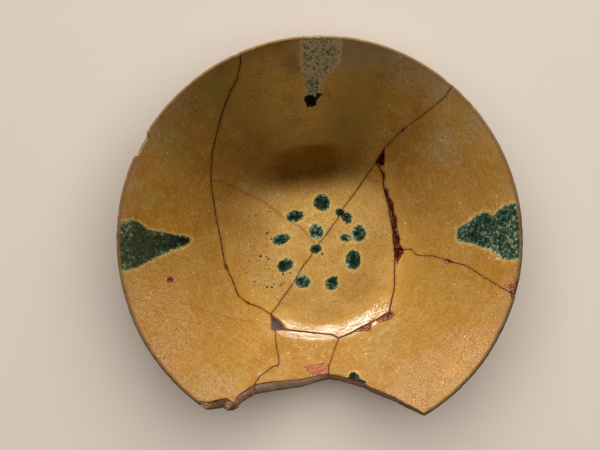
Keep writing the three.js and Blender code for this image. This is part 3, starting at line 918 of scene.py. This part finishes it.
def amber_glaze():
    """Amber lead glaze, poured inside and run a little over the lip, on a thrown red clay body.
    It looks like thin brown glass: even and glossy in the middle, dulled by rubbing near the rim,
    peppered with iron, and bitten by copper green where that was dabbed on."""
    material, tree, shader, place = new_material("amber lead glaze poured on thrown clay", 1.55)
    marks = ("copper", "weathering", "flaked", "peeled", "browned", "hollow", "crack", "hairline",
             "from_lip", "plan_radius")
    field = {key: add(tree, "ShaderNodeAttribute", attribute_name=key).outputs["Fac"]
             for key in (*marks, *PATCHES)}
    grain = grains(tree, place, {"cloud": (36, 3), "patch": (10, 4), "mottle": (2.4, 3),
                                 "crumb": (1.0, 3), "grit": (0.5, 2)})
    # streaks of the wheel: noise that is long round the bowl and short up the wall
    flat = add(tree, "ShaderNodeVectorMath", {0: place, 1: (1.0, 1.0, 0.0)},
               operation="MULTIPLY")
    way = add(tree, "ShaderNodeVectorMath", {0: flat}, operation="NORMALIZE")
    parts = add(tree, "ShaderNodeSeparateXYZ", {0: way})
    wheel = add(tree, "ShaderNodeCombineXYZ", {
        0: times(tree, parts.outputs["X"], 3.0), 1: times(tree, parts.outputs["Y"], 3.0),
        2: field["from_lip"]})
    streak = add(tree, "ShaderNodeTexNoise", {"Vector": wheel, "Scale": 1.0, "Detail": 4.0,
                                              "Roughness": 0.65}).outputs[0]
    clear = ramp(tree, grain["cloud"], [(0.3, "#875c1b"), (0.5, "#946823"), (0.7, "#9e722c")])
    dulled = ramp(tree, grain["patch"], [(0.3, "#a07839"), (0.5, "#ac8445"), (0.7, "#b89153")])
    # painted sheen: the floor out to its turn takes a paler, greyer amber for the sheen on the lit
    # glaze; the worn patches take it too, as wear and, along the right rim, painted sheen
    floor_sheen = ragged(tree, field["plan_radius"], grain["patch"], -9.0, -16.0, 58.0)
    worn = ragged(tree, field["worn"], grain["patch"], 0.5, 1.0, 0.5)
    floor_sheen_or_worn = add(tree, "ShaderNodeMath", {0: floor_sheen, 1: worn}, operation="MAXIMUM")
    # painted light: bright pale amber on the shaded far wall, and painted sheen on the low right
    # rim
    thin = ragged(tree, field["thin"], grain["patch"], 0.3, 0.9, 0.5)
    below_wall = add(tree, "ShaderNodeMapRange", {"Value": field["plan_radius"],
                                                  "From Min": WALL_FOOT[0],
                                                  "From Max": WALL_FOOT[1]}).outputs[0]
    # painted shade: a darker amber at the foot of the far wall, cut off where the wall starts
    pooled = times(tree, ragged(tree, field["pooled"], grain["patch"], 0.2, 0.7, 0.45), below_wall)
    off_floor = add(tree, "ShaderNodeMapRange", {"Value": field["plan_radius"],
                                                 "From Min": FLOOR_TURN[0],
                                                 "From Max": FLOOR_TURN[1]})
    turn = times(tree, below_wall, off_floor)
    off_turn = add(tree, "ShaderNodeMath", {0: 1.0, 1: turn}, operation="SUBTRACT").outputs[0]
    # stirring has scoured the turn of the floor, so its gloss comes in fine streaks
    fine = add(tree, "ShaderNodeMix", {0: 0.5, 2: streak, 3: grain["crumb"]})
    streaked = add(tree, "ShaderNodeMapRange", {"Value": fine, "From Min": 0.43, "From Max": 0.57,
                                                "To Min": 0.02, "To Max": 0.36})
    shine = add(tree, "ShaderNodeMix", {0: turn, 2: 0.5, 3: streaked}).outputs[0]
    # painted shade: darker amber where the strip lights the walls and floor
    aged = ragged(tree, field["aged"], grain["patch"], 0.3, 0.8, 0.45)
    mixed = clear
    # bright amber as painted light, paler amber as wear and painted sheen, and two darker ambers as
    # painted shade
    for mask, tone in ((thin, colour("#d4a44c")), (floor_sheen_or_worn, dulled), (aged, colour("#92692b")),
                       (pooled, colour("#8c5c10"))):
        mixed = add(tree, "ShaderNodeMix", {"Factor": mask, 6: mixed, 7: tone},
                    data_type="RGBA").outputs[2]
    peppered = ramp(tree, grain["crumb"], [(0.32, "#cfc6bc"), (0.43, "#f4f1ee"),
                                           (0.56, "#ffffff"), (0.66, "#ffffff")])
    base = add(tree, "ShaderNodeMix", {"Factor": 1.0, 6: mixed, 7: peppered},
               data_type="RGBA", blend_type="MULTIPLY").outputs[2]
    # copper green: black-green where thick, teal at its edges, grey-buff where it weathered
    depth = add(tree, "ShaderNodeMapRange", {"Value": field["copper"], "From Max": 2.4,
                                             "To Min": 0.5, "To Max": 0.0})
    blotch = add(tree, "ShaderNodeMath", {0: grain["patch"], 1: 1.6, 2: -0.8},
                 operation="MULTIPLY_ADD")
    aged_blotch = add(tree, "ShaderNodeMath", {0: blotch, 1: field["weathering"]})
    coarse = add(tree, "ShaderNodeMath", {0: grain["mottle"], 1: 3.0, 2: aged_blotch},
                 operation="MULTIPLY_ADD")
    # the crumb noise gives the copper pale specks: weathered crystals, and also painted glints of
    # its gritty gloss
    spread = add(tree, "ShaderNodeMath", {0: grain["crumb"], 1: 2.4, 2: coarse},
                 operation="MULTIPLY_ADD")
    paleness = add(tree, "ShaderNodeMath", {0: spread, 1: depth}, operation="ADD")
    copper_tone = ramp(tree, paleness, [
        (2.0, "#020402"), (2.55, "#08110a"), (2.95, "#15291d"), (3.45, "#2d4033"),
        (3.75, "#5c6850"), (4.1, "#96906a"), (4.6, "#c4b086")])
    swollen = add(tree, "ShaderNodeMath", {0: grain["patch"], 1: 3.0, 2: field["copper"]},
                  operation="MULTIPLY_ADD")
    lobed = add(tree, "ShaderNodeMath", {0: grain["mottle"], 1: 4.6, 2: swollen},
                operation="MULTIPLY_ADD")
    in_copper = ragged(tree, lobed, grain["crumb"], 1.0, 0.5, 3.7)
    halo = ragged(tree, lobed, grain["mottle"], 0.6, 1.6, 2.8)
    weathered = add(tree, "ShaderNodeMapRange", {"Value": field["weathering"], "From Min": 0.8,
                                                 "From Max": 1.3})
    pits = times(tree, specks(tree, place, 1.7, 1.0, in_copper), weathered)
    # wear and dirt
    scattered = add(tree, "ShaderNodeMapRange", {"Value": grain["patch"], "From Min": 0.42,
                                                 "From Max": 0.62, "To Min": 0.2}).outputs[0]
    peppery = ragged(tree, field["peppered"], grain["patch"], 0.4, 0.8, 0.4)
    iron = specks(tree, place, 5.0, 1.1, scattered)
    pepper = specks(tree, place, 1.9, 0.8, peppery)
    pale = specks(tree, place, 4.6, 1.0, scattered)
    scratches = scratch_marks(tree, place)
    # rubbed places, whose pale sandy tone also paints the sheen along the low rim
    rubbed = times(tree, ragged(tree, field["rubbed"], grain["patch"], 0.8, 1.2, 0.55), off_turn)
    bloom = times(tree, ragged(tree, field["bloom"], grain["mottle"], 1.0, 1.0, 0.5), off_turn)
    rust = times(tree, ragged(tree, field["rust"], grain["mottle"], 0.7, 0.9, 0.5), off_turn)
    olive = ragged(tree, field["olive"], grain["patch"], 0.6, 1.0, 0.5)
    dark_streak = add(tree, "ShaderNodeMapRange", {"Value": streak, "From Min": 0.54,
                                                   "From Max": 0.72, "To Max": 0.5})
    pale_streak = add(tree, "ShaderNodeMapRange", {"Value": streak, "From Min": 0.44,
                                                   "From Max": 0.27, "To Max": 0.28})
    from_crack = add(tree, "ShaderNodeMath", {0: 0.0, 1: field["crack"]}, operation="SUBTRACT")
    packed = add(tree, "ShaderNodeMapRange", {"Value": grain["mottle"], "From Min": 0.36,
                                              "From Max": 0.52, "To Min": 0.5})
    crack_dirt = times(tree, ragged(tree, from_crack, grain["crumb"], 0.35, 0.3), packed)
    crack_stain = times(tree, ragged(tree, from_crack, grain["mottle"], 1.2, 1.6, -0.8), 0.3)
    from_hairline = add(tree, "ShaderNodeMath", {0: 0.0, 1: field["hairline"]},
                        operation="SUBTRACT")
    hairline = times(tree, ragged(tree, from_hairline, grain["crumb"], 0.2, 0.3, -0.22), 0.6)
    flaked = ragged(tree, field["flaked"], grain["mottle"], 1.5, 0.35, -0.1)
    # deeper flakes are painted darker, as shade in the hollow
    uneven = add(tree, "ShaderNodeMix", {0: 0.4, 2: grain["crumb"], 3: grain["mottle"]})
    flake_depth_shade = add(tree, "ShaderNodeMath", {0: field["hollow"], 1: -0.08, 2: uneven},
                  operation="MULTIPLY_ADD")
    clay_tone = ramp(tree, flake_depth_shade, [(0.32, "#1e0904"), (0.41, "#5a2210"), (0.5, "#8a482a"),
                                     (0.6, "#c89474")])
    peeled = ragged(tree, field["peeled"], grain["mottle"], 0.7, 0.3)
    peeled_tone = ramp(tree, grain["crumb"], [(0.36, "#5f3020"), (0.48, "#8a4e33"),
                                              (0.62, "#a06648")])
    # the lip's crest, painted a dull dark brown as shade so that it doesn't shine in the strip
    # light, and the bare outside below the run of the glaze
    sandy = ramp(tree, grain["crumb"], [(0.36, "#765130"), (0.5, "#987048"), (0.62, "#bc9568")])
    blotched = add(tree, "ShaderNodeMapRange", {"Value": grain["crumb"], "From Min": 0.38,
                                                "From Max": 0.58, "To Min": 0.35}).outputs[0]
    rim_wear = times(tree, ragged(tree, field["from_lip"], grain["patch"], 7.0, 6.0, -7.0),
                     blotched)
    lip_inside = ragged(tree, field["from_lip"], grain["mottle"], 0.8, 1.0, -2.2)
    lip_outside = ragged(tree, field["from_lip"], grain["mottle"], 1.5, 1.5, 3.5)
    off_crest = add(tree, "ShaderNodeMath", {0: 1.0, 1: lip_outside}, operation="SUBTRACT")
    crest = times(tree, lip_inside, off_crest)
    run = ragged(tree, field["from_lip"], grain["patch"], 14.0, 0.8, 13.0)
    turned_tone = ramp(tree, streak, [(0.3, "#8e644a"), (0.5, "#a87a5c"), (0.7, "#b98c6c")])
    lay_over(tree, shader, (base, 0.09), [
        (dark_streak, "#7a4f1a", 0.1),
        (pale_streak, "#c2985a", 0.1),
        (olive, "#84702a", 0.1),
        (times(tree, rim_wear, 0.55), "#86643f", 0.85),
        (times(tree, rust, 0.6), "#84492a", 0.8),
        (times(tree, rubbed, 0.7), sandy, 0.85),
        (times(tree, bloom, blotched, 0.75), "#958b6c", 0.85),
        (crack_stain, "#6a3a0c", 0.1),
        (iron, "#38200c", 0.4),
        (times(tree, pepper, 0.85), "#4c3214", 0.4),
        (times(tree, pale, 0.8), "#e2ca9a", 0.85),
        (times(tree, scratches, 0.3), "#d8bd88", 0.12),
        (times(tree, halo, 0.3), "#c9b46c", 0.12),
        (in_copper, copper_tone, 0.1),
        (times(tree, field["browned"], in_copper, 0.4), "#3a381c", 0.14),
        (pits, "#1d1a0e", 0.5),
        (times(tree, peeled, 0.95), peeled_tone, 0.8),
        (flaked, clay_tone, 0.9),
        (times(tree, hairline, 0.8), "#5a3514", 0.6),
        (times(tree, crack_dirt, 0.95), "#2c0e05", 0.8),
        # painted shade on the lip's crest
        (times(tree, crest, 0.82), "#644a2e", 0.85),
        (run, turned_tone, 0.88),
    ], shine)
    bump(tree, shader, [
        (grain["mottle"], 0.01), (grain["crumb"], 0.008), (grain["grit"], 0.004), (streak, 0.006),
        (times(tree, below_wall, grain["crumb"]), 0.03),
        (times(tree, below_wall, grain["grit"]), 0.05), (times(tree, below_wall, streak), 0.04),
        (times(tree, in_copper, grain["crumb"]), 0.004), (pits, -0.3), (iron, -0.02),
        (pale, -0.02), (scratches, -0.008), (crack_dirt, -0.25), (hairline, -0.1),
        (times(tree, flaked, grain["grit"]), 1.0), (times(tree, flaked, grain["crumb"]), 1.2),
        (peeled, -0.15), (times(tree, run, grain["grit"]), 0.25),
        (times(tree, rubbed, grain["grit"]), 0.15),
    ])
    return material


def broken_clay():
    """Fired red clay as it broke: dull and crumbly, redder near the glaze, grey in the core, with
    pale grit, and darker at its lower edge. Toward +X it is painted darker as shade, and in the
    middle paler as light."""
    material, tree, shader, place = new_material("broken red earthenware", 1.5)
    through = add(tree, "ShaderNodeAttribute", attribute_name="through").outputs["Fac"]
    grain = grains(tree, place, {"patch": (7, 4), "crumb": (1.2, 4), "grit": (0.4, 2)})
    base = ramp(tree, grain["crumb"], [(0.34, "#8c5c44"), (0.5, "#cc9c7a"), (0.66, "#e2be9c")])
    core = ragged(tree, through, grain["patch"], 0.25, 0.3, 0.35)
    # darker along the edge by the outer skin
    lower = ragged(tree, through, grain["patch"], 0.12, 0.2, 0.84)
    # painted shade darkens the break toward +X, and painted light makes it paler from X -38 mm up
    # to the shaded part
    across = add(tree, "ShaderNodeSeparateXYZ", {0: place}).outputs["X"]
    right_break_shade = ragged(tree, across, grain["patch"], 8.0, 8.0, 4.0)
    off_right_break_shade = add(tree, "ShaderNodeMath", {0: 1.0, 1: right_break_shade}, operation="SUBTRACT")
    fresh = times(tree, ragged(tree, across, grain["patch"], 4.0, 3.0, -38.0), off_right_break_shade, 0.6)
    rim = add(tree, "ShaderNodeAttribute", attribute_name="plan_radius").outputs["Fac"]
    handled = add(tree, "ShaderNodeMapRange", {"Value": rim, "From Min": 104.0, "From Max": 110.0,
                                               "To Max": 0.9})
    openness = add(tree, "ShaderNodeAttribute", attribute_name="raw").outputs["Fac"]
    packed = add(tree, "ShaderNodeMapRange", {"Value": openness, "From Min": 0.9,
                                              "From Max": 0.5, "To Max": 0.85})
    glaze_edge = add(tree, "ShaderNodeMapRange", {"Value": through, "From Min": 0.1,
                                                  "From Max": 0.04})
    lay_over(tree, shader, (base, 0.92), [
        # painted light, then painted shade, on the lost section's break
        (fresh, "#f2d0b0", 0.92),
        (times(tree, right_break_shade, 0.7), "#8a6442", 0.92),
        (handled, "#705036", 0.92),
        (times(tree, core, 0.5), "#776555", 0.92),
        (specks(tree, place, 1.6, 0.8), "#c4a888", 0.85),
        (times(tree, lower, 0.8), "#3a2618", 0.9),
        (glaze_edge, "#5c3a18", 0.5),
        (packed, "#30120a", 0.92),
    ])
    bump(tree, shader, [(grain["crumb"], 0.5), (grain["grit"], 0.25)])
    return material


def copper_bead():
    """Copper glaze that spat from the brush and melted to beads: near black and glossy."""
    material, tree, shader, place = new_material("melted copper glaze beads", 1.55)
    grain = grains(tree, place, {"grit": (0.3, 2)})
    tone = ramp(tree, grain["grit"], [(0.3, "#050805"), (0.7, "#141d12")])
    tree.links.new(tone, shader.inputs["Base Color"])
    shader.inputs["Roughness"].default_value = 0.3
    bump(tree, shader, [(grain["grit"], 0.05)])
    return material


# ------------------------------------------------------------------ beads of copper
BEAD_SPREAD = 1.3  # a bead spreads to this many times its width as it melts
BEAD_FLATNESS = 0.35  # its height, as a share of that


def bead_tree(material):
    """Drops a flat bead on to the bowl below each point, turned to lie on the surface."""
    tree, enter, leave = new_tree("drop_beads", floats=("Flatness",), objects=("Surface",))
    width = add(tree, "GeometryNodeInputNamedAttribute", {"Name": "width"}, data_type="FLOAT")
    surface = add(tree, "GeometryNodeObjectInfo", {"Object": enter.outputs["Surface"]})
    drop = add(tree, "GeometryNodeRaycast", {
        "Target Geometry": surface.outputs["Geometry"], "Ray Direction": (0.0, 0.0, -1.0),
        "Ray Length": 1.0})
    landed = add(tree, "GeometryNodeSetPosition", {
        "Geometry": enter.outputs["Geometry"], "Position": drop.outputs["Hit Position"]})
    missed = add(tree, "FunctionNodeBooleanMath", {0: drop.outputs["Is Hit"]}, operation="NOT")
    kept = add(tree, "GeometryNodeDeleteGeometry", {"Geometry": landed, "Selection": missed})
    lie = add(tree, "FunctionNodeAlignRotationToVector", {"Vector": drop.outputs["Hit Normal"]},
              axis="Z")
    flat = add(tree, "ShaderNodeCombineXYZ", {0: 1.0, 1: 1.0, 2: enter.outputs["Flatness"]})
    size = add(tree, "ShaderNodeVectorMath", {0: flat, "Scale": width}, operation="SCALE")
    bead = add(tree, "GeometryNodeMeshIcoSphere", {"Radius": 0.5, "Subdivisions": 2})
    placed = add(tree, "GeometryNodeInstanceOnPoints", {
        "Points": kept, "Instance": bead, "Rotation": lie, "Scale": size})
    solid = add(tree, "GeometryNodeRealizeInstances", {"Geometry": placed})
    smooth = add(tree, "GeometryNodeSetShadeSmooth", {"Geometry": solid})
    finished = add(tree, "GeometryNodeSetMaterial", {"Geometry": smooth, "Material": material})
    tree.links.new(finished.outputs[0], leave.inputs[0])
    return tree


# ------------------------------------------------------------------ the bowl
RING_HEIGHT = 0.09  # of the potter's rings
RING_SPACING = 5.5
WARP = 1.6  # how far the rim strays from level
NIBBLE = 0.5  # how far small wear bites into the lip
BREAK_GRAIN = 2.4  # relief of the broken clay


def make_bowl():
    """Every sherd of the bowl, thrown and broken, by name."""
    plan, triangles, line_of_edge, lines = broken_plan()
    profile = profile_curve()
    tree = throwing_tree(amber_glaze(), broken_clay())
    sherds = {}
    for name, faces in fragments(plan, triangles, line_of_edge).items():
        sherd = sherd_blank(name, plan, faces, line_of_edge, lines)
        run_tree(sherd, tree, {
            "Profile": profile, "Ovalness": OVALNESS, "Ring height": RING_HEIGHT * MM,
            "Ring spacing": RING_SPACING, "Warp": WARP * MM, "Nibble": NIBBLE * MM,
            "Break grain": BREAK_GRAIN * MM, "Flake depth": MM})
        finish_sherd(sherd)
        sherds[name] = sherd
    bpy.data.objects.remove(profile)
    return sherds


def make_beads(sherd):
    """The beads that landed on a sherd, as one mesh. A bead that misses the sherd is left out."""
    mesh = bpy.data.meshes.new("beads")
    high = RIM_HEIGHT * MM
    mesh.from_pydata([(x * MM, y * MM, high) for x, y, _ in SPATTER], [], [])
    layer = mesh.attributes.new("width", "FLOAT", "POINT")
    layer.data.foreach_set("value", [BEAD_SPREAD * width * MM for _, _, width in SPATTER])
    beads = bpy.data.objects.new("beads_on_floor_left", mesh)
    bpy.context.scene.collection.objects.link(beads)
    run_tree(beads, bead_tree(copper_bead()), {"Surface": sherd, "Flatness": BEAD_FLATNESS})
    return beads


# ------------------------------------------------------------------ floor, light and camera
# Lengths are in metres, powers in watts and angles in degrees.
FLOOR_COLOUR = "#d9cfc4"
FLOOR_REACH = 1.4
FLOOR_SIDES = 96
ROOM_COLOUR = "#ffe8cc"
HORIZON_LIGHT = 0.55  # brightness of the room at the horizon
ROOM_LIGHT = 0.04  # and above it
HORIZON_BAND = (0.06, 0.26)  # share of the way up over which the one turns into the other
KEY_COLOUR = "#fffdf8"
KEY_TILT = 61.0  # degrees off the bowl's axis, toward +Y
KEY_BEARING = -8.0  # degrees from +Y toward +X
KEY_DISTANCE = 0.95  # from the middle of the rim, as for the fill and the camera
KEY_SIZE = (1.08, 0.06)
KEY_POWER = 26.5
FILL_TILT = 42.0  # degrees off the bowl's axis, toward -Y
FILL_DISTANCE = 1.5
FILL_SIZE = (1.6, 1.0)
FILL_POWER = 5.2
BOARD_LIGHT_PLACE = (0.15, 0.5, 1.6)
BOARD_LIGHT_SIZE = (2.4, 2.2)
BOARD_LIGHT_POWER = 44.0
CAMERA_TILT = 3.0
CAMERA_DISTANCE = 0.88
VIEW_WIDTH = 0.3528  # what the camera takes in, side to side, at its distance
AIM_OFFSET = (-0.0115, 0.0079, 0)  # where it aims, from the middle of the rim


def lay_floor():
    """A wide round board for the bowl to stand on."""
    mesh = bpy.data.meshes.new("studio_floor")
    turns = np.linspace(0, 2 * np.pi, FLOOR_SIDES, endpoint=False)
    edge = [(FLOOR_REACH * math.cos(turn), FLOOR_REACH * math.sin(turn), 0) for turn in turns]
    mesh.from_pydata(edge, [], [list(range(FLOOR_SIDES))])
    floor = bpy.data.objects.new("studio_floor", mesh)
    bpy.context.scene.collection.objects.link(floor)
    material, _, shader, _ = new_material("matt painted board", 1.45)
    shader.inputs["Base Color"].default_value = colour(FLOOR_COLOUR)
    shader.inputs["Roughness"].default_value = 0.9
    mesh.materials.append(material)
    return floor


def hang_lamp(name, size, power, place, target, lit, shows_in_glaze=True):
    """A soft lamp at a place, facing a target, that lights only the pieces in a list. One behind
    a polarising sheet doesn't show in the glaze."""
    data = bpy.data.lights.new(name, "AREA")
    data.shape = "RECTANGLE"
    data.size, data.size_y = size
    data.energy = power
    data.color = colour(KEY_COLOUR)[:3]
    lamp = bpy.data.objects.new(name, data)
    bpy.context.scene.collection.objects.link(lamp)
    lamp.location = place
    lamp.rotation_euler = (target - place).to_track_quat("-Z", "Y").to_euler()
    receivers = bpy.data.collections.new(name + "_lights")
    for piece in lit:
        receivers.objects.link(piece)
    lamp.light_linking.receiver_collection = receivers
    lamp.visible_glossy = shows_in_glaze


def light_studio(pieces, floor):
    """One long strip beyond the far rim, low enough for the rim to shade the wall under it, an
    even light over the board, a weak fill from the front, and a dim room."""
    rim = Vector((0, 0, RIM_HEIGHT * MM))
    tilt, bearing = math.radians(KEY_TILT), math.radians(KEY_BEARING)
    way = Vector((math.sin(tilt) * math.sin(bearing), math.sin(tilt) * math.cos(bearing),
                  math.cos(tilt)))
    hang_lamp("long_strip", KEY_SIZE, KEY_POWER, rim + way * KEY_DISTANCE, rim, pieces)
    front = math.radians(FILL_TILT)
    hang_lamp("soft_fill", FILL_SIZE, FILL_POWER,
              rim + Vector((0, -math.sin(front), math.cos(front))) * FILL_DISTANCE, rim, pieces,
              shows_in_glaze=False)
    hang_lamp("board_light", BOARD_LIGHT_SIZE, BOARD_LIGHT_POWER,
              Vector(BOARD_LIGHT_PLACE), Vector(), [floor])
    world = bpy.data.worlds.new("pale room")
    world.use_nodes = True
    tree = world.node_tree
    way_out = add(tree, "ShaderNodeTexCoord").outputs["Generated"]
    upward = add(tree, "ShaderNodeSeparateXYZ", {0: way_out}).outputs["Z"]
    strength = add(tree, "ShaderNodeMapRange", {
        "Value": upward, "From Min": HORIZON_BAND[0], "From Max": HORIZON_BAND[1],
        "To Min": HORIZON_LIGHT, "To Max": ROOM_LIGHT}, interpolation_type="SMOOTHSTEP").outputs[0]
    background = tree.nodes["Background"]
    background.inputs["Color"].default_value = colour(ROOM_COLOUR)
    tree.links.new(strength, background.inputs["Strength"])
    bpy.context.scene.world = world


def set_camera():
    """Looks down into the bowl, a little off its axis toward -Y."""
    rim = Vector((0, 0, RIM_HEIGHT * MM))
    tilt = math.radians(CAMERA_TILT)
    data = bpy.data.cameras.new("camera")
    data.sensor_width = 36.0
    data.lens = data.sensor_width * CAMERA_DISTANCE / VIEW_WIDTH
    camera = bpy.data.objects.new("camera", data)
    bpy.context.scene.collection.objects.link(camera)
    camera.location = rim + Vector((0, -math.sin(tilt), math.cos(tilt))) * CAMERA_DISTANCE
    back = (camera.location - rim - Vector(AIM_OFFSET)).normalized()
    right = Vector((0, 1, 0)).cross(back).normalized()
    camera.rotation_euler = Matrix((right, back.cross(right), back)).transposed().to_euler()
    bpy.context.scene.camera = camera


sherds = make_bowl()
for name, sherd in sherds.items():
    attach(sherd, "root")
    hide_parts(name + "_sherd")
beads = make_beads(sherds["floor_left"])
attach(beads, "root")
light_studio([*sherds.values(), beads], lay_floor())
set_camera()
bpy.context.scene.view_settings.view_transform = "Standard"
